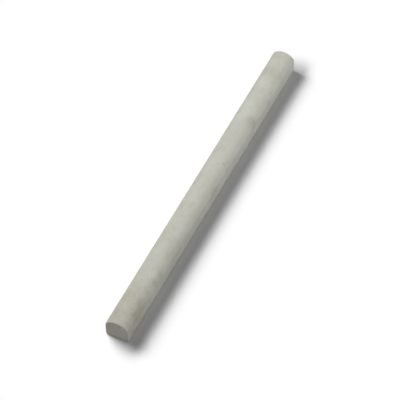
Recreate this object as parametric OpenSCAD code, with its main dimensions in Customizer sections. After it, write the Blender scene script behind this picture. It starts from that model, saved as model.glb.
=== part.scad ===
// Bullnose trim bar of solid marble. A domed face stands on two straight sides,
// the back is flat, the ends are sawn square, and every arris is lightly eased.
// The bar lies on its back with its length along X, the crown up and the middle
// of the back at the origin.

/* [Bar] */
// Length between the two sawn ends
length = 305; // [50:5:600]
// Width between the two straight sides
width = 19; // [15:0.5:40]
// Height from the flat back to the top of the crown
height = 19; // [14:0.5:40]

/* [Crown] */
// Rise of the crown above the shoulders, where it meets the straight sides
crown_rise = 5.5; // [2:0.5:7]

/* [Eased arrises] */
// Width of the small flat that eases each shoulder
shoulder_flat = 0.6; // [0.2:0.1:1.5]
// Bevel along each long arris of the back, measured on each face
back_bevel = 0.4; // [0.1:0.1:1.5]
// Bevel round both sawn ends, measured on each face
end_bevel = 0.4; // [0.1:0.1:1.5]

/* [Colour] */
// Greyish cream of the honed marble
marble_colour = "#BDBCB0"; // ["#BDBCB0", "#D8D6CC", "#8F8C84"]

/* [Hidden] */
$fn = 96;
// What a cutting shape reaches past the stone, so that no two faces coincide
spare = 2;
// The crown is an arc through both shoulders and the top of the bar
shoulder_z = height - crown_rise;
crown_r = (pow(width / 2, 2) + pow(crown_rise, 2)) / (2 * crown_rise);
crown_z = height - crown_r;
// The crown meets each side at this angle, and the shoulder's flat halves it
crease = 90 - asin(width / 2 / crown_r);
flat_z = shoulder_z - shoulder_flat / 2 / cos(crease / 2);
flat_run = (height + spare - flat_z) * tan(crease / 2);
// Below this height the bar is as wide as its blank
body_z = max(crown_z, shoulder_z / 2);

// Section of the blank: back bevels, straight sides and shoulder flats
module blank_section() {
    right = [
        [width / 2 - back_bevel, 0],
        [width / 2, back_bevel],
        [width / 2, flat_z],
        [width / 2 - flat_run, height + spare]
    ];
    left = [for (i = [len(right) - 1:-1:0]) [-right[i].x, right[i].y]];
    polygon(concat(right, left));
}

// The blank, sawn to its section and left too long
module blank() {
    translate([-length / 2 - spare, 0, 0])
        rotate([90, 0, 90])
            linear_extrude(length + 2 * spare)
                blank_section();
}

// Outline along the bar, as long as the bar, whose bevels run on past a piece `across` wide
module ends_outline(across) {
    end_x = length / 2;
    past_x = end_x - end_bevel - spare;
    end_y = across / 2 - end_bevel;
    past_y = across / 2 + spare;
    polygon([
        [end_x, -end_y], [end_x, end_y],
        [past_x, past_y], [-past_x, past_y],
        [-end_x, end_y], [-end_x, -end_y],
        [-past_x, -past_y], [past_x, -past_y]
    ]);
}

// Cuts the ends square and bevels their two upright arrises
module ends_in_plan() {
    translate([0, 0, -spare])
        linear_extrude(height + 2 * spare)
            ends_outline(width);
}

// Bevels the arris of each end at the back, and passes clear above the crown
module ends_in_side_view() {
    across = 2 * height;
    translate([0, width / 2 + spare, 0])
        rotate([90, 0, 0])
            linear_extrude(width + 2 * spare)
                translate([0, across / 2])
                    ends_outline(across);
}

// The crown as a turned bar, coned at both ends to carry the end bevel over the dome
module crown() {
    tip_r = crown_r - end_bevel - spare;
    translate([-length / 2, 0, crown_z])
        rotate([0, 90, 0])
            rotate_extrude()
                polygon([
                    [0, -spare],
                    [tip_r, -spare],
                    [crown_r, end_bevel],
                    [crown_r, length - end_bevel],
                    [tip_r, length + spare],
                    [0, length + spare]
                ]);
}

// Everything below the crown, wider and longer than the bar
module body() {
    reach = 2 * spare;
    translate([-(length + reach) / 2, -(width + reach) / 2, -spare])
        cube([length + reach, width + reach, body_z + spare]);
}

module bullnose_bar() {
    color(marble_colour)
        intersection() {
            blank();
            ends_in_plan();
            ends_in_side_view();
            union() {
                crown();
                body();
            }
        }
}

bullnose_bar();
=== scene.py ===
"""Bullnose trim bar in honed, greyish cream marble, lying on its flat back on a pale studio floor.

The bar is one mesh: a domed section with eased, lightly worn arrises, drawn along the bar and closed by
two sawn ends. Its marble is a solid pattern, so that clouds, brown patches and veins run through the
stone and meet at the arrises.
"""

import math
import random

import bpy
import numpy as np
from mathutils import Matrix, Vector, noise


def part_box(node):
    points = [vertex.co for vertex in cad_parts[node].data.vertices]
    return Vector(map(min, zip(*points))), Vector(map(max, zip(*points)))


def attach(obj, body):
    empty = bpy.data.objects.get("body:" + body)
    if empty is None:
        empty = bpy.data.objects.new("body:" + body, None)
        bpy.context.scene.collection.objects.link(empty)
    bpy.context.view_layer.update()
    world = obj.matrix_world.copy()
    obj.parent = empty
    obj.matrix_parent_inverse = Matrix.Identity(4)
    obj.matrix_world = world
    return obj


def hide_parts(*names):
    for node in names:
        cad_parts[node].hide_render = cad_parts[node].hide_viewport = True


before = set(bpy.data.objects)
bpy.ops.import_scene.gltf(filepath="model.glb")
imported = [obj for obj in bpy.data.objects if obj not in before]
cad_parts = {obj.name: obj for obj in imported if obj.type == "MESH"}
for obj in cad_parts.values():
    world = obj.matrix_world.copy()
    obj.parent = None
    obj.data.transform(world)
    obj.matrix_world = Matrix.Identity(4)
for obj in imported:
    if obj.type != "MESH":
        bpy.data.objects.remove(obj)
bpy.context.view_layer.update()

bl_info = {
    "name": "Marble bullnose bar",
    "version": (1, 0, 0),
    "blender": (4, 5, 0),
    "location": "3D View > Sidebar > Bullnose",
    "description": "Builds a domed marble trim bar with sawn ends, and a pale studio to show it in",
    "category": "Add Mesh",
}

MM = 0.001
NODE = "bullnose_bar"
BAR_LOW, BAR_HIGH = (Vector(corner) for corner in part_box(NODE))
LENGTH = BAR_HIGH.x - BAR_LOW.x
WIDTH = BAR_HIGH.y - BAR_LOW.y
HEIGHT = BAR_HIGH.z - BAR_LOW.z

# Brown patches in the stone: millimetres along the bar from its middle, degrees round the crown from its
# top (minus is the right-hand side), reach in millimetres, strength
BROWN_PATCHES = [
    (-146, -54, 8, 0.35),
    (-137, -49, 9, 0.92),
    (-127, -49, 8, 0.82),
    (-117, -50, 7, 0.30),
    (-105, -50, 7, 0.60),
    (-138, -88, 16, 0.30),
    (-95, -57, 7, 0.55),
    (-72, -58, 13, 0.25),
    (-2, -80, 10, 0.55),
    (73, -44, 9, 0.80),
    (129, 3, 9, 0.25),
    (147, 4, 12, 0.40),
    (-143, 28, 15, 0.50),
    (-127, 24, 14, 0.65),
]
# Wide, faint grey patches of painted shade along the left shoulder, which darken its rim: along, round,
# reach, strength, as above
PAINTED_SHADE_CLOUDS = [
    (-110, 46, 17, 0.34),
    (-88, 46, 18, 0.38),
    (102, 46, 15, 0.26),
    (126, 42, 18, 0.30),
]
# Small dark specks: along, round, reach, strength, as above
DARK_SPECKS = [
    (109, -46, 1.2, 0.50),
    (111, -32, 1.0, 0.25),
    (128, 26, 1.0, 0.40),
    (23, -34, 2.4, 0.28),
    (27, -44, 1.6, 0.20),
    (-60, 12, 0.9, 0.25),
    (51, 33, 0.8, 0.25),
    (150.8, -37, 0.9, 0.30),
    (150.2, -45, 1.5, 0.38),
    (148.9, -56, 1.1, 0.35),
    (-151, 22, 0.9, 0.30),
    (-150, 35, 0.8, 0.25),
]
# Flakes lost from the arrises of the ends: end (-1 near, 1 far), degrees round the outline from straight
# up (minus is the right-hand side), radius and depth in millimetres
END_FLAKES = [
    (1, -52, 1.8, 0.35),
    (1, -38, 1.4, 0.25),
    (-1, 132, 1.8, 0.60),
    (-1, 58, 1.4, 0.40),
    (-1, -128, 1.2, 0.35),
    (1, 140, 1.5, 0.40),
]
# Shares of an end's outline at which the rings that close it lie, from its edge to its middle
END_RINGS = np.array([0.965, 0.925, 0.875, 0.81, 0.72, 0.6, 0.45, 0.3, 0.15])
# How far the wear of the long arrises, and of those round the ends, fades out beside them
ARRIS_FADE = 1.0 * MM
END_FADE = 0.9 * MM
# Soft lamps on the bar, under the names of their levels: direction from the middle of the bar's back,
# distance and width in metres
SOFT_LAMPS = {
    "key": ((0.06, 0.78, 1.0), 1.3, 0.9),
    "right": ((0.35, -1.0, 1.0), 0.9, 0.7),
    "fill": ((0.35, -1.0, 0.12), 0.9, 0.5),
    "near_end": ((-1.0, 0.35, 0.12), 1.0, 0.5),
}
# How far the floor reaches each way, and how far it lies below the bar
FLOOR_REACH = 4.0
FLOOR_GAP = 0.02 * MM
# Width of the camera's sensor in millimetres
SENSOR_WIDTH = 36
# Sockets of a Mix node that mixes colours
MIX_FACTOR, MIX_FIRST, MIX_SECOND = 0, 6, 7
MIX_RESULT = 2


def tone(hex_colour):
    """The scene-linear colour of a colour written as #RRGGBB."""
    parts = [int(hex_colour[i:i + 2], 16) / 255 for i in (1, 3, 5)]
    return tuple(p / 12.92 if p <= 0.04045 else ((p + 0.055) / 1.055) ** 2.4 for p in parts)


def opaque(colour):
    """A colour with full alpha."""
    return (*colour[:3], 1.0)


class Sizes(bpy.types.PropertyGroup):
    """Sizes of the bar that its solid leaves open"""

    crown_rise: bpy.props.FloatProperty(
        name="Crown rise", description="Rise of the crown above the shoulders",
        default=5.5 * MM, min=2 * MM, max=7 * MM, unit="LENGTH")
    shoulder_round: bpy.props.FloatProperty(
        name="Shoulder round", description="Radius where the crown turns into a side",
        default=2.6 * MM, min=0.3 * MM, max=4 * MM, unit="LENGTH")
    back_round: bpy.props.FloatProperty(
        name="Back arris", description="Radius along the two long arrises of the back",
        default=0.4 * MM, min=0.3 * MM, max=1.5 * MM, unit="LENGTH")
    end_round: bpy.props.FloatProperty(
        name="End arris", description="Radius round both sawn ends, kept below that of the back arris",
        default=0.3 * MM, min=0.1 * MM, max=1 * MM, unit="LENGTH")
    station: bpy.props.FloatProperty(
        name="Mesh spacing", description="Distance between cross sections of the mesh",
        default=0.55 * MM, min=0.3 * MM, max=3 * MM, unit="LENGTH")
    wave: bpy.props.FloatProperty(
        name="Hand of the honing", description="Depth of the slow waves that honing leaves in the surface",
        default=0.05 * MM, min=0, max=0.2 * MM, unit="LENGTH")
    wear: bpy.props.FloatProperty(
        name="Arris wear", description="Depth to which the arrises are unevenly worn",
        default=0.16 * MM, min=0, max=0.5 * MM, unit="LENGTH")
    nicks: bpy.props.IntProperty(
        name="Nicks", description="Number of small nicks spread over the arrises",
        default=60, min=0, max=200)


class Marble(bpy.types.PropertyGroup):
    """Colours and finish of the stone"""

    body: bpy.props.FloatVectorProperty(
        name="Body", description="Ground colour of the marble",
        subtype="COLOR", size=3, min=0, max=1, default=tone("#B9B9AE"))
    light: bpy.props.FloatVectorProperty(
        name="Light clouds", description="Colour of the paler clouds",
        subtype="COLOR", size=3, min=0, max=1, default=tone("#C6C7BE"))
    # Also the colour of the painted shade on the left side, along the left shoulder and towards the near end
    grey: bpy.props.FloatVectorProperty(
        name="Grey clouds", description="Colour of the greyer clouds and of the veins",
        subtype="COLOR", size=3, min=0, max=1, default=tone("#A3A295"))
    brown: bpy.props.FloatVectorProperty(
        name="Brown patches", description="Colour of the iron-stained patches",
        subtype="COLOR", size=3, min=0, max=1, default=tone("#91806A"))
    # Also the colour of the painted shade along the foot of each end
    speck: bpy.props.FloatVectorProperty(
        name="Specks", description="Colour of the small dark specks",
        subtype="COLOR", size=3, min=0, max=1, default=tone("#6E6A58"))
    honed: bpy.props.FloatProperty(
        name="Honed roughness", description="Roughness of the honed crown and sides",
        subtype="FACTOR", default=0.62, min=0, max=1)
    sawn: bpy.props.FloatProperty(
        name="Sawn roughness", description="Roughness of the sawn ends and back",
        subtype="FACTOR", default=0.78, min=0, max=1)
    depth: bpy.props.FloatProperty(
        name="Light in the stone", description="How far light spreads below the surface",
        default=2.2 * MM, min=0, max=10 * MM, unit="LENGTH")


class Studio(bpy.types.PropertyGroup):
    """Camera, lamps and floor"""

    lens: bpy.props.FloatProperty(
        name="Lens", description="Focal length on a 36 mm sensor",
        subtype="DISTANCE_CAMERA", default=175.5, min=20, max=400)
    camera_place: bpy.props.FloatVectorProperty(
        name="Camera", description="Where the camera stands, from the middle of the bar's back",
        subtype="TRANSLATION", unit="LENGTH", size=3, default=(-0.8704, -0.4165, 1.22055))
    camera_aim: bpy.props.FloatVectorProperty(
        name="Aim", description="Point at the middle of the picture",
        subtype="TRANSLATION", unit="LENGTH", size=3, default=(-0.00583, 0.00136, -0.00031))
    floor: bpy.props.FloatVectorProperty(
        name="Floor", description="Colour of the floor as the camera sees it",
        subtype="COLOR", size=3, min=0, max=1, default=(1.0, 1.0, 1.0))
    floor_bounce: bpy.props.FloatProperty(
        name="Floor bounce", description="Share of light that the floor sends back to the bar",
        subtype="FACTOR", default=0.25, min=0, max=1)
    sky: bpy.props.FloatProperty(
        name="Sky", description="Even light from all round",
        default=0.172, min=0, max=1)
    sky_colour: bpy.props.FloatVectorProperty(
        name="Sky colour", description="Colour of the even light",
        subtype="COLOR", size=3, min=0, max=1, default=(0.95, 0.95, 1.0))
    key: bpy.props.FloatProperty(
        name="Key lamp", description="Light that the soft lamp at the upper left gives a white surface",
        default=0.765, min=0, max=2)
    right: bpy.props.FloatProperty(
        name="Right lamp", description="Light that the soft lamp at the upper right gives a white surface",
        default=0.35, min=0, max=2)
    fill: bpy.props.FloatProperty(
        name="Fill lamp", description="Light that the low soft lamp at the right gives a white surface",
        default=0.29, min=0, max=2)
    near_end: bpy.props.FloatProperty(
        name="Near end lamp", description="Light that the lamp before the near end gives a white surface",
        default=0.27, min=0, max=2)
    shadow: bpy.props.FloatProperty(
        name="Shadow lamps", description="Light on the floor that the bar's shadow takes away",
        default=0.84, min=0, max=2)
    shadow_softness: bpy.props.FloatProperty(
        name="Shadow softness", description="Width of each shadow lamp as the bar sees it",
        subtype="ANGLE", default=math.radians(19.8), min=0, max=math.radians(90))
    shadow_right: bpy.props.FloatProperty(
        name="Shadow to the right", description="Reach of the shadow, as a share of the bar's height",
        default=1.03, min=0.1, max=3)
    shadow_near: bpy.props.FloatProperty(
        name="Shadow past the near end", description="Reach of the shadow, as a share of the bar's height",
        default=0.43, min=-1, max=2)
    shadow_far: bpy.props.FloatProperty(
        name="Shadow past the far end", description="Reach of the shadow, as a share of the bar's height",
        default=0.33, min=-1, max=2)
    shadow_count: bpy.props.IntProperty(
        name="Shadow lamps in a row", description="Number of shadow lamps for each half of the floor",
        default=5, min=2, max=9)
    shadow_spread: bpy.props.FloatProperty(
        name="Shadow spread", description="How far apart the lamps set their shadows, by the same measure",
        default=0.26, min=0, max=1)
    shadow_near_slant: bpy.props.FloatProperty(
        name="Slant at the near end",
        description="How much further past the end than to the right they spread",
        default=1.05, min=0, max=4)
    shadow_far_slant: bpy.props.FloatProperty(
        name="Slant at the far end", description="The same at the far end, where the shadow is rounder",
        default=2.1, min=0, max=4)


class Value:
    """A shader socket as a number. Arithmetic on it adds Math nodes to its shader."""

    def __init__(self, shader, socket):
        self.shader = shader
        self.socket = socket

    def math(self, operation, *others, clamp=False):
        """This value and the others through one Math node."""
        return self.shader.node(
            "ShaderNodeMath", {"operation": operation, "use_clamp": clamp}, [self, *others])

    def __add__(self, other):
        return self.math("ADD", other)

    def __radd__(self, other):
        return self.math("ADD", other)

    def __sub__(self, other):
        return self.math("SUBTRACT", other)

    def __rsub__(self, other):
        return self.shader.node("ShaderNodeMath", {"operation": "SUBTRACT"}, [other, self])

    def __mul__(self, other):
        return self.math("MULTIPLY", other)

    def __rmul__(self, other):
        return self.math("MULTIPLY", other)

    def __abs__(self):
        return self.math("ABSOLUTE")

    def lower(self, other):
        """The smaller of two values."""
        return self.math("MINIMUM", other)

    def higher(self, other):
        """The larger of two values."""
        return self.math("MAXIMUM", other)

    def root(self):
        """Square root."""
        return self.math("SQRT")

    def clamped(self):
        """Held between 0 and 1."""
        return self.math("ADD", 0, clamp=True)

    def step(self, low, high):
        """Rises smoothly from 0 at low to 1 at high, or falls where low is the larger."""
        if low > high:
            return 1 - self.step(high, low)
        return self.shader.node(
            "ShaderNodeMapRange", {"interpolation_type": "SMOOTHSTEP"}, [self, low, high, 0, 1])


class Shader:
    """The nodes of one material or world."""

    def __init__(self, owner):
        owner.use_nodes = True
        self.tree = owner.node_tree
        self.tree.nodes.clear()

    def node(self, kind, settings=None, inputs=(), output=0):
        """Adds one node: its settings first, then the values or links of its sockets."""
        made = self.tree.nodes.new(kind)
        for name, value in (settings or {}).items():
            setattr(made, name, value)
        pairs = inputs.items() if isinstance(inputs, dict) else enumerate(inputs)
        for key, value in pairs:
            if isinstance(value, Value):
                self.tree.links.new(value.socket, made.inputs[key])
            else:
                made.inputs[key].default_value = value
        return Value(self, made.outputs[output]) if made.outputs else made

    def mix(self, factor, first, second, blend="MIX"):
        """Two colours mixed by a factor."""
        first, second = (c if isinstance(c, Value) else opaque(c) for c in (first, second))
        return self.node(
            "ShaderNodeMix", {"data_type": "RGBA", "blend_type": blend},
            {MIX_FACTOR: factor, MIX_FIRST: first, MIX_SECOND: second}, output=MIX_RESULT)

    def vector(self, operation, first, second):
        """Two vectors through one Vector Math node."""
        return self.node("ShaderNodeVectorMath", {"operation": operation}, [first, second])

    def parts(self, vector):
        """The x, y and z of a vector."""
        split = self.node("ShaderNodeSeparateXYZ", None, [vector])
        return [Value(self, socket) for socket in split.socket.node.outputs]

    def noise(self, place, size, detail=3, roughness=0.5):
        """Smooth noise from about 0.25 to 0.75, whose features are about `size` wide."""
        return self.node("ShaderNodeTexNoise", None, {
            "Vector": place, "Scale": 1 / size, "Detail": detail, "Roughness": roughness})

    def cells(self, place, size, output="Distance"):
        """Distance to the nearest of a scatter of points about `size` apart, or each one's own colour."""
        return self.node("ShaderNodeTexVoronoi", None, {"Vector": place, "Scale": 1 / size}, output)


def crown_arc(rise):
    """Radius of the crown and height of its centre, for a bar as wide and high as the solid."""
    radius = ((WIDTH / 2) ** 2 + rise ** 2) / (2 * rise)
    return radius, HEIGHT - radius


def arc(centre, radius, start, end, count):
    """Points of an arc and their outward directions, without the last; angles run from +Y towards +Z."""
    angles = np.linspace(start, end, count, endpoint=False)
    out = np.stack([np.cos(angles), np.sin(angles)], axis=1)
    return np.asarray(centre) + radius * out, out


def flat(start, end, direction):
    """Points of a straight stretch and their directions, closer near both ends, without the last."""
    first_gap, growth, widest_gap = 0.16 * MM, 1.6, 2.0 * MM
    length = math.dist(start, end)
    steps = [0.0]
    gap = first_gap
    while steps[-1] + gap < length / 2:
        steps.append(steps[-1] + gap)
        gap = min(gap * growth, widest_gap)
    shares = np.array(steps + [length - step for step in reversed(steps[1:])]) / length
    points = np.asarray(start) + shares[:, None] * (np.asarray(end) - np.asarray(start))
    return points, np.tile(direction, (len(points), 1))


def section(sizes):
    """Outline of the bar's section, anticlockwise seen from +X: points, outward directions, arris share.

    The share says how much a point belongs to an arris: 1 on it, fading out beside it.
    """
    half, foot, ease = WIDTH / 2, sizes.back_round, sizes.shoulder_round
    radius, centre = crown_arc(sizes.crown_rise)
    ease_z = centre + math.sqrt((radius - ease) ** 2 - (half - ease) ** 2)
    turn = math.atan2(ease_z - centre, half - ease)
    foot_count, ease_count, crown_count = 6, 7, 44
    stretches = [
        (flat((-half + foot, 0), (half - foot, 0), (0, -1)), False),
        (arc((half - foot, foot), foot, -math.pi / 2, 0, foot_count), True),
        (flat((half, foot), (half, ease_z), (1, 0)), False),
        (arc((half - ease, ease_z), ease, 0, turn, ease_count), True),
        (arc((0, centre), radius, turn, math.pi - turn, crown_count), False),
        (arc((-half + ease, ease_z), ease, math.pi - turn, math.pi, ease_count), True),
        (flat((-half, ease_z), (-half, foot), (-1, 0)), False),
        (arc((-half + foot, foot), foot, math.pi, 1.5 * math.pi, foot_count), True),
    ]
    points = np.concatenate([stretch[0] for stretch, _ in stretches])
    directions = np.concatenate([stretch[1] for stretch, _ in stretches])
    on_arris = np.concatenate([np.full(len(stretch[0]), arris) for stretch, arris in stretches])
    gap = np.linalg.norm(points[:, None] - points[on_arris][None], axis=2).min(axis=1)
    return points, directions, np.clip(1 - gap / ARRIS_FADE, 0, 1) ** 2


def end_ease(sizes):
    """Radius round the ends, kept to three quarters of the back's so that no corner closes up."""
    return min(sizes.end_round, 0.75 * sizes.back_round)


def stations(sizes):
    """Places along the bar with each one's inset and tilt: round arrises at both ends, even between."""
    reach, ease = LENGTH / 2, end_ease(sizes)
    first_gap, growth, turn_count = 0.12 * MM, 1.25, 6
    steps = [ease]
    gap = first_gap
    while steps[-1] + gap < reach:
        steps.append(steps[-1] + gap)
        gap = min(gap * growth, sizes.station)
    straight = [(step, 0.0, 0.0) for step in steps]
    turns = np.linspace(math.pi / 2, 0, turn_count, endpoint=False)
    rounded = [(ease * (1 - math.sin(t)), ease * (1 - math.cos(t)), t) for t in turns]
    one_end = rounded + straight
    near = [(-reach + step, inset, -tilt) for step, inset, tilt in one_end]
    far = [(reach - step, inset, tilt) for step, inset, tilt in reversed(one_end)]
    return np.array(near + far)


def slow_noise(points, size, seed):
    """Noise between about -1 and 1 at each point, with features of the given size; each seed has its own."""
    shift = Vector((seed * 13.7, seed * 5.1, seed * 9.3))
    return np.array([noise.noise(Vector(p) / size + shift) for p in points])


def nick_balls(sizes, points, directions):
    """Balls that cut the nicks, as centres and radii: the flakes listed, then small ones all over."""
    reach, ease = LENGTH / 2, end_ease(sizes)
    slant = 1 / math.sqrt(2)
    turns = np.degrees(np.arctan2(points[:, 0], points[:, 1] - HEIGHT / 2))
    balls = []

    def at_end(side, index, radius, depth):
        y, z = points[index] - directions[index] * ease * (1 - slant)
        edge = Vector((side * (reach - ease * (1 - slant)), y, z))
        out = Vector((side * slant, *(directions[index] * slant)))
        balls.append((edge + out * (radius - depth), radius))

    def along(x, index, radius, depth):
        edge = Vector((x, *points[index]))
        balls.append((edge + Vector((0, *directions[index])) * (radius - depth), radius))

    for side, turn, radius, depth in END_FLAKES:
        at_end(side, int(np.argmin(np.abs(turns - turn))), radius * MM, depth * MM)

    # A draw below the first share puts a nick on an end, below the second on the back, else on a shoulder
    end_share, back_share = 0.30, 0.75
    shoulder_depth = 0.6
    # Outline points for nicks: the middle of each back arris, and where each shoulder turns up
    back = [i for i, (y, z) in enumerate(directions) if abs(abs(y) - abs(z)) < 0.35 and points[i][1] < MM]
    shoulder = [
        i for i, (y, _) in enumerate(directions) if 0.9 < abs(y) < 0.999 and points[i][1] > HEIGHT / 2]
    chance = random.Random(11)
    for _ in range(sizes.nicks):
        radius = chance.uniform(0.5, 1.5) * MM
        depth = radius * chance.uniform(0.08, 0.26)
        kind = chance.random()
        if kind < end_share:
            at_end(chance.choice((-1, 1)), chance.randrange(len(points)), radius, depth)
        elif kind < back_share:
            index = chance.choice(back)
            along(chance.uniform(-reach, reach), index, radius, depth)
        else:
            index = chance.choice(shoulder)
            along(chance.uniform(-reach, reach), index, radius, depth * shoulder_depth)
    return balls


def bite(vertices, balls):
    """Pushes each vertex inside a ball away from its centre, back to its roughened surface."""
    roughness, lump = 0.18, 0.45 * MM
    # No lump of the roughened surface stands further out than this share of the radius
    furthest = 1.2
    for centre, radius in balls:
        away = vertices - np.array(centre)
        gap = np.linalg.norm(away, axis=1)
        inside = np.nonzero(gap < radius * furthest)[0]
        if not len(inside):
            continue
        surface = radius * (1 + roughness * slow_noise(vertices[inside], lump, seed=3))
        push = np.clip(surface - gap[inside], 0, None)
        vertices[inside] += away[inside] / gap[inside][:, None] * push[:, None]


def worn(sizes, surface, outward, arris):
    """The surface with the slow waves of honing, but for the flat back, and with worn arrises."""
    wave_size, wear_size = 9 * MM, 3.5 * MM
    hone = sizes.wave * (0.5 + 0.5 * slow_noise(surface * [0.35, 1, 1], wave_size, seed=1))
    on_back = surface[:, 2] < 1e-7
    hone[on_back] = 0
    wear = sizes.wear * arris * np.clip(0.15 + slow_noise(surface, wear_size, seed=2), 0, 1)
    return surface - outward * (hone + wear)[:, None]


def end_rings(outline):
    """The rings that close an end, as the end's outline drawn in towards its middle, and that middle."""
    middle = np.array([outline[0, 0], 0, HEIGHT / 2])
    rings = middle + END_RINGS[:, None, None] * (outline - middle)[None]
    return rings.reshape(-1, 3), middle


def strip(first, second, count):
    """Faces between two closed loops of vertices, each given by the number of its first vertex."""
    faces = []
    for j in range(count):
        k = (j + 1) % count
        faces.append((first + j, first + k, second + k, second + j))
    return faces


def bar_faces(rows, cols):
    """Faces between the sections, then those of the rings and of the middle of each end."""
    faces = []
    for row in range(rows - 1):
        faces += strip(row * cols, (row + 1) * cols, cols)
    count = len(END_RINGS)
    for end, row in enumerate((0, rows - 1)):
        first = (rows + end * count) * cols
        loops = [row * cols] + [first + ring * cols for ring in range(count)]
        middle = (rows + 2 * count) * cols + end
        closing = []
        for outer, inner in zip(loops, loops[1:]):
            closing += strip(outer, inner, cols)
        for j in range(cols):
            closing.append((loops[-1] + j, loops[-1] + (j + 1) % cols, middle))
        faces += closing if end else [face[::-1] for face in closing]
    return faces


def bar_mesh(sizes):
    """The bar as a mesh: the section at every station, worn and nicked, and rings that close both ends."""
    points, directions, share = section(sizes)
    x, inset, tilt = stations(sizes).T
    rows, cols = len(x), len(points)
    grid = np.empty((rows, cols, 3))
    grid[:, :, 0] = x[:, None]
    grid[:, :, 1:] = points[None] - directions[None] * inset[:, None, None]
    outward = np.empty_like(grid)
    outward[:, :, 0] = np.sin(tilt)[:, None]
    outward[:, :, 1:] = directions[None] * np.cos(tilt)[:, None, None]

    end_share = np.clip(1 - (LENGTH / 2 - np.abs(x)) / END_FADE, 0, 1) ** 2
    arris = np.maximum(np.tile(share, rows), np.repeat(end_share, cols))
    sides = worn(sizes, grid.reshape(-1, 3), outward.reshape(-1, 3), arris)
    near_rings, near_middle = end_rings(grid[0])
    far_rings, far_middle = end_rings(grid[-1])
    vertices = np.concatenate([sides, near_rings, far_rings, [near_middle, far_middle]])
    bite(vertices, nick_balls(sizes, points, directions))
    vertices[:, 2] = np.clip(vertices[:, 2], 0, HEIGHT)

    mesh = bpy.data.meshes.new("marble_bar")
    mesh.from_pydata(vertices.tolist(), [], bar_faces(rows, cols))
    mesh.validate()
    mesh.shade_smooth()
    return mesh


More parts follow.
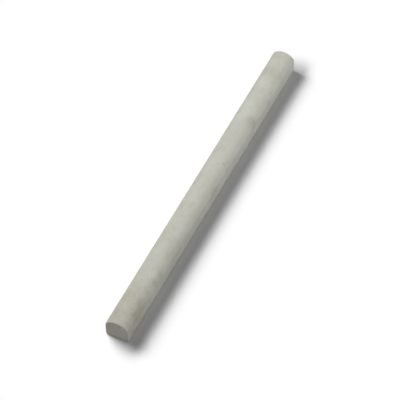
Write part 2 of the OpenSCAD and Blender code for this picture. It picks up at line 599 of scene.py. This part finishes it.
class MarbleShader(Shader):
    """The marble: a solid pattern placed in millimetres from the middle of the bar's back."""

    def __init__(self, material, marble, sizes):
        super().__init__(material)
        self.marble = marble
        self.radius, self.centre = (v / MM for v in crown_arc(sizes.crown_rise))
        local = self.node("ShaderNodeTexCoord", output="Object")
        self.place = self.vector("MULTIPLY", local, (1 / MM,) * 3)
        self.x, self.y, self.z = self.parts(self.place)

    def warp(self, size, amount):
        """The place, pushed about by noise of the given size."""
        push = self.node(
            "ShaderNodeTexNoise", None, {"Vector": self.place, "Scale": 1 / size, "Detail": 2.0}, "Color")
        centred = self.vector("SUBTRACT", push, (0.5, 0.5, 0.5))
        return self.vector("ADD", self.place, self.vector("MULTIPLY", centred, (amount,) * 3))

    def edges(self):
        """Distances in millimetres: to the ends, to the sides, to the back and to the crown.

        The last is made large below the crown's centre, where there is no crown.
        """
        end = LENGTH / 2 / MM - abs(self.x)
        side = WIDTH / 2 / MM - abs(self.y)
        lift = self.z - self.centre
        crown = self.radius - (self.y * self.y + lift * lift).root()
        return end, side, self.z, crown.higher((self.centre + 1 - self.z) * 10)

    def spot(self, place, along, turn, reach):
        """1 at a place on the crown or the side below it, fading out over `reach`."""
        angle = math.radians(turn)
        centre = (along, math.sin(angle) * self.radius, self.centre + math.cos(angle) * self.radius)
        away = self.node("ShaderNodeVectorMath", {"operation": "DISTANCE"}, [place, centre], "Value")
        return away.step(reach, 0)

    def spots(self, listed, place):
        """All the spots of a list, added up by their strengths."""
        total = None
        for along, turn, reach, strength in listed:
            one = self.spot(place, along, turn, reach) * strength
            total = one if total is None else total + one
        return total.clamped()

    def colour(self, sawn, arris):
        """Base colour: ground, clouds, veins, patches, specks and grain, with painted shade on the left side,
        along the left shoulder and towards the near end.
        """
        marble = self.marble
        drift = self.warp(24, 16)
        along, across, _ = self.parts(drift)
        broad = self.noise(self.vector("MULTIPLY", drift, (0.55, 1.0, 1.0)), 26, roughness=0.55)
        soft = self.noise(self.warp(9, 5), 7.5, detail=4, roughness=0.6)
        veined = self.noise(self.place, 21, detail=1).step(0.42, 0.66)
        vein = abs(self.noise(self.warp(17, 14), 34, detail=2) - 0.5).step(0.026, 0.0)
        thread = abs(self.noise(self.warp(6, 6), 15, roughness=0.6) - 0.52).step(0.010, 0.0)
        blotch = self.noise(self.place, 3.2, detail=4).step(0.22, 0.62)
        patches = self.spots(BROWN_PATCHES, self.warp(5, 5)) * blotch
        # Painted shade: the left side greyer, which darkens its rim, broken up by the soft clouds
        left_side_painted_shade = across.step(3.5, 11.5) * (0.08 + soft * 0.58)
        # Darker towards the near end: the grey mix is painted shade, the brown mix a warmer tone of the stone
        # there
        near_end = along.step(-108, -128)
        iron = self.noise(self.place, 1.7, roughness=0.6).step(0.66, 0.78)

        # Each layer lies on those before it: how much of it shows, and its colour
        colour = marble.body
        for share, tint in (
            (broad.step(0.40, 0.62) * 0.42, marble.light),
            (soft.step(0.52, 0.72) * 0.30, marble.grey),
            (soft.step(0.46, 0.28) * 0.35, marble.light),
            (vein * veined * 0.26, marble.grey),
            (thread * veined * 0.22, marble.grey),
            (patches * 0.62, marble.brown),
            # Painted shade: grey patches along the left shoulder that darken its rim
            (self.spots(PAINTED_SHADE_CLOUDS, self.warp(20, 22)), marble.grey),
            (left_side_painted_shade, marble.grey),
            # Painted shade towards the near end, then the stone's browner tone there
            (near_end * 0.16, marble.grey),
            (near_end * 0.09, marble.brown),
            (iron * 0.30, marble.brown),
            (self.spots(DARK_SPECKS, self.warp(1.5, 1.0)), marble.speck),
        ):
            colour = self.mix(share, colour, tint)

        grain = self.noise(self.place, 0.55, detail=2, roughness=0.7)
        crystal = self.parts(self.cells(self.place, 0.9, "Color"))[0]
        light = 0.955 + grain * 0.06 + crystal * 0.03
        light = light * (1 - sawn * 0.03) * (1 + arris * 0.03)
        return self.mix(1.0, colour, self.grey_level(light), blend="MULTIPLY")

    def grey_level(self, value):
        """A value as a grey colour."""
        return self.node("ShaderNodeCombineColor", None, [value, value, value])

    def saw_marks(self):
        """Saw lines, level on the ends and crosswise on the back, as noise drawn out along Y."""
        on_ends = self.vector("MULTIPLY", self.place, (0.02, 0.25, 3.2))
        on_back = self.vector("MULTIPLY", self.place, (2.2, 0.05, 0.0))
        return self.noise(on_ends, 1.0, roughness=0.6), self.noise(on_back, 1.0, roughness=0.6)

    def pits(self):
        """1 in small pits spread sparsely over the stone."""
        distance = self.cells(self.place, 4.5)
        chance = self.parts(self.cells(self.place, 4.5, "Color"))[1]
        size = chance.step(0.72, 1.0) * 0.075
        return (size - distance).step(0.0, 0.03) * chance.step(0.70, 0.74)

    def build(self):
        """Joins the pattern to the shader's sockets."""
        end, side, back, crown = self.edges()
        on_end = end.step(0.12, 0.0)
        on_back = back.step(0.10, 0.0)
        sawn = on_end.higher(on_back)
        # An arris is as far off as the further of the two faces that meet in it
        skin = side.lower(back).lower(crown)
        to_arris = skin.higher(end).lower(side.higher(back)).lower(side.higher(crown))
        wobble = self.noise(self.place, 1.4) - 0.5
        arris = (to_arris + wobble * 0.7).step(0.75, 0.15)

        pits = self.pits()
        # Painted shade: a dark line along the foot of each end, where it meets the floor; the pits are
        # darkened too
        painted_foot_shade = on_end * back.step(1.3, 0.3) * 0.45
        pits_and_painted_foot_shade = (pits * 0.5).higher(painted_foot_shade)
        colour = self.mix(pits_and_painted_foot_shade, self.colour(sawn, arris), self.marble.speck)
        rough_noise = self.noise(self.place, 2.6, detail=4, roughness=0.65) - 0.5
        honed = self.marble.honed + rough_noise * 0.22 + pits * 0.25 + arris * 0.12
        roughness = honed + sawn * (self.marble.sawn - self.marble.honed)

        grain = self.noise(self.place, 0.35, roughness=0.65)
        swell = self.noise(self.place, 3.0, detail=2)
        end_lines, back_lines = self.saw_marks()
        height = grain * (0.010 + sawn * 0.05 + arris * 0.03) + swell * 0.02 - pits * 0.12
        height = height + end_lines * on_end * 0.12 + back_lines * on_back * 0.12
        bump = self.node(
            "ShaderNodeBump", None, {"Strength": 1.0, "Distance": MM, "Height": height})
        surface = self.node("ShaderNodeBsdfPrincipled", None, {
            "Base Color": colour,
            "Roughness": roughness.clamped(),
            "Normal": bump,
            "IOR": 1.5,
            "Specular IOR Level": 0.22,
            "Subsurface Weight": 0.18,
            "Subsurface Radius": (1.0, 0.85, 0.6),
            "Subsurface Scale": self.marble.depth,
        })
        self.node("ShaderNodeOutputMaterial", None, [surface])


class BULLNOSE_OT_bar(bpy.types.Operator):
    """Build the marble bar in place of its plain solid"""

    bl_idname = "bullnose.bar"
    bl_label = "Marble bar"

    def execute(self, context):
        scene = context.scene
        piece = bpy.data.objects.new("marble_bar", bar_mesh(scene.bullnose_sizes))
        scene.collection.objects.link(piece)
        material = bpy.data.materials.new("honed_marble")
        MarbleShader(material, scene.bullnose_marble, scene.bullnose_sizes).build()
        piece.data.materials.append(material)
        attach(piece, "root")
        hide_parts(NODE)
        return {"FINISHED"}


def seen_by_camera(shader):
    """1 where the camera sees a surface, also in a reflection or through glass, and 0 for other light."""
    camera = shader.node("ShaderNodeLightPath", output="Is Camera Ray")
    glossy = shader.node("ShaderNodeLightPath", output="Is Glossy Ray")
    through = shader.node("ShaderNodeLightPath", output="Is Transmission Ray")
    return camera.higher(glossy).higher(through)


def floor_shader(material, studio):
    """White to the camera, with the bar's shadow on it, and a plain pale floor to the bar."""
    shader = Shader(material)
    colour = shader.mix(seen_by_camera(shader), (studio.floor_bounce,) * 3, studio.floor)
    surface = shader.node("ShaderNodeBsdfDiffuse", None, {"Color": colour})
    shader.node("ShaderNodeOutputMaterial", None, [surface])


def sky_shader(world, studio):
    """White behind everything that is seen, and a plain even light on the bar."""
    shader = Shader(world)
    seen = seen_by_camera(shader)
    colour = shader.mix(seen, studio.sky_colour, (1, 1, 1))
    strength = studio.sky + seen * (1 - studio.sky)
    surface = shader.node("ShaderNodeBackground", None, {"Color": colour, "Strength": strength})
    shader.node("ShaderNodeOutputWorld", None, [surface])


def aim(thing, target):
    """Turns a lamp or camera to look at a point, upright."""
    thing.rotation_mode = "QUATERNION"
    thing.rotation_quaternion = (Vector(target) - thing.location).to_track_quat("-Z", "Y")


def lamp_for(scene, lamp, thing):
    """Adds a lamp that lights only the given object."""
    scene.collection.objects.link(lamp)
    lit = bpy.data.collections.new(lamp.name + "_lights")
    lit.objects.link(thing)
    lamp.light_linking.receiver_collection = lit


def soft_lamp(scene, name, level, bar):
    """A round soft lamp that leaves no highlight; its level is what a white surface facing it gets."""
    direction, distance, width = SOFT_LAMPS[name]
    data = bpy.data.lights.new(f"{name}_lamp", "AREA")
    data.shape = "DISK"
    data.size = width
    data.energy = level * math.pi ** 2 * (distance ** 2 + (width / 2) ** 2)
    lamp = bpy.data.objects.new(data.name, data)
    lamp.location = Vector(direction).normalized() * distance
    aim(lamp, (0, 0, HEIGHT / 2))
    lamp.visible_glossy = False
    lamp_for(scene, lamp, bar)


def floor_half(scene, name, side, material):
    """Half of the floor, under the near end of the bar (side -1) or the far end (side 1)."""
    mesh = bpy.data.meshes.new(name)
    low, high = sorted((0.0, side * FLOOR_REACH))
    corners = [(low, -FLOOR_REACH), (high, -FLOOR_REACH), (high, FLOOR_REACH), (low, FLOOR_REACH)]
    mesh.from_pydata([(x, y, -FLOOR_GAP) for x, y in corners], [], [(0, 1, 2, 3)])
    mesh.materials.append(material)
    floor = bpy.data.objects.new(name, mesh)
    scene.collection.objects.link(floor)
    return floor


def shadow_row(scene, studio, floor, side, past_end, slant):
    """A row of distant soft lamps for one half of the floor, which lays the bar's shadow past its own end.

    The rows of both halves stand equally far to the left, so that the shadow runs on over their joint.
    """
    count = studio.shadow_count
    for i in range(count):
        shift = studio.shadow_spread * (2 * i / (count - 1) - 1)
        place = Vector((-side * (past_end + slant * shift), studio.shadow_right - shift, 1.0))
        direction = place.normalized()
        data = bpy.data.lights.new(f"{floor.name}_lamp_{i + 1}", "SUN")
        data.angle = studio.shadow_softness
        data.energy = studio.shadow * math.pi / direction.z / count
        lamp = bpy.data.objects.new(data.name, data)
        lamp.location = direction
        aim(lamp, (0, 0, 0))
        lamp_for(scene, lamp, floor)


class BULLNOSE_OT_studio(bpy.types.Operator):
    """Add the pale floor, the soft lamps and the camera"""

    bl_idname = "bullnose.studio"
    bl_label = "Studio"

    def execute(self, context):
        scene = context.scene
        studio = scene.bullnose_studio
        bar = bpy.data.objects["marble_bar"]

        material = bpy.data.materials.new("floor_white")
        floor_shader(material, studio)
        near = floor_half(scene, "floor_near", -1, material)
        shadow_row(scene, studio, near, -1, studio.shadow_near, studio.shadow_near_slant)
        far = floor_half(scene, "floor_far", 1, material)
        shadow_row(scene, studio, far, 1, studio.shadow_far, studio.shadow_far_slant)
        scene.world = bpy.data.worlds.new("studio")
        sky_shader(scene.world, studio)
        for name in SOFT_LAMPS:
            soft_lamp(scene, name, getattr(studio, name), bar)

        camera_data = bpy.data.cameras.new("camera")
        camera_data.lens = studio.lens
        camera_data.sensor_width = SENSOR_WIDTH
        camera = bpy.data.objects.new("camera", camera_data)
        camera.location = studio.camera_place
        aim(camera, studio.camera_aim)
        scene.collection.objects.link(camera)
        scene.camera = camera
        scene.view_settings.view_transform = "Standard"
        return {"FINISHED"}


class BULLNOSE_PT_panel(bpy.types.Panel):
    """Sizes, stone and studio of the bar"""

    bl_idname = "BULLNOSE_PT_panel"
    bl_label = "Bullnose bar"
    bl_space_type = "VIEW_3D"
    bl_region_type = "UI"
    bl_category = "Bullnose"

    def draw(self, context):
        scene = context.scene
        for operator, group in (
            (BULLNOSE_OT_bar, scene.bullnose_sizes),
            (None, scene.bullnose_marble),
            (BULLNOSE_OT_studio, scene.bullnose_studio),
        ):
            column = self.layout.column(align=True)
            for name in group.__annotations__:
                column.prop(group, name)
            if operator:
                column.operator(operator.bl_idname)


CLASSES = (Sizes, Marble, Studio, BULLNOSE_OT_bar, BULLNOSE_OT_studio, BULLNOSE_PT_panel)
GROUPS = {"bullnose_sizes": Sizes, "bullnose_marble": Marble, "bullnose_studio": Studio}


def register():
    for one in CLASSES:
        bpy.utils.register_class(one)
    for name, group in GROUPS.items():
        setattr(bpy.types.Scene, name, bpy.props.PointerProperty(type=group))


def unregister():
    for name in GROUPS:
        delattr(bpy.types.Scene, name)
    for one in reversed(CLASSES):
        bpy.utils.unregister_class(one)


def main():
    register()
    bpy.ops.bullnose.bar()
    bpy.ops.bullnose.studio()


if __name__ == "__main__":
    main()
